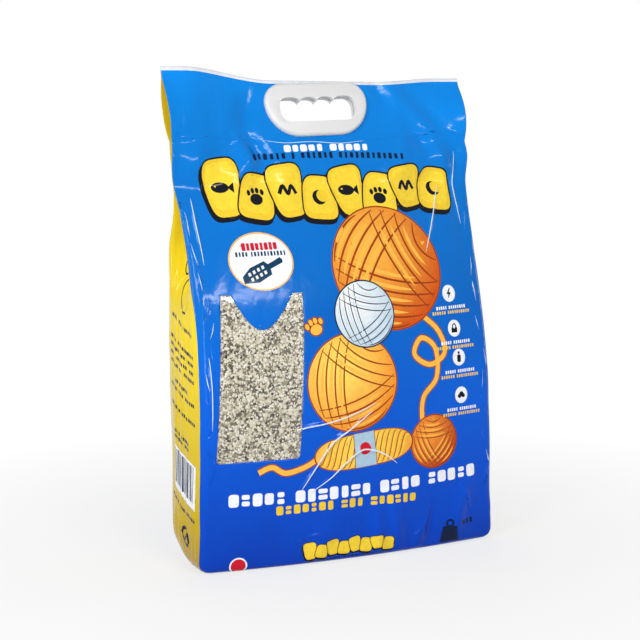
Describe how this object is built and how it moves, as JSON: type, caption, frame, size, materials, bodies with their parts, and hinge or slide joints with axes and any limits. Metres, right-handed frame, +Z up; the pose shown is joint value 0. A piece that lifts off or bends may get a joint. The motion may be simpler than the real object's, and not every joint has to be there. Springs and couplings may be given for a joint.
{
  "type": "cat litter bag",
  "caption": "Upright side-gusseted film bag of cat litter with a clear window, a flat sealed header and a clipped plastic carry handle with finger grips",
  "frame": {"origin": "on the floor under the middle of the bag's foot", "axes": "X across the front panel towards its right as seen from the front, +Y from the front panel to the back, Z up"},
  "size_m": [0.2914, 0.1087, 0.4309],
  "materials": {
    "printed_film": "glossy laminated film, blue print with yellow gussets",
    "clear_film": "unprinted glossy film, clear",
    "granules": "dry mixed grey and white clay granules",
    "handle_plastic": "white moulded polyethylene with a soft gloss"
  },
  "bodies": {
    "root": {"film_bag": "printed_film", "window_film": "clear_film", "litter": "granules", "handle_front": "handle_plastic", "handle_back": "handle_plastic"}
  },
  "joints": []
}
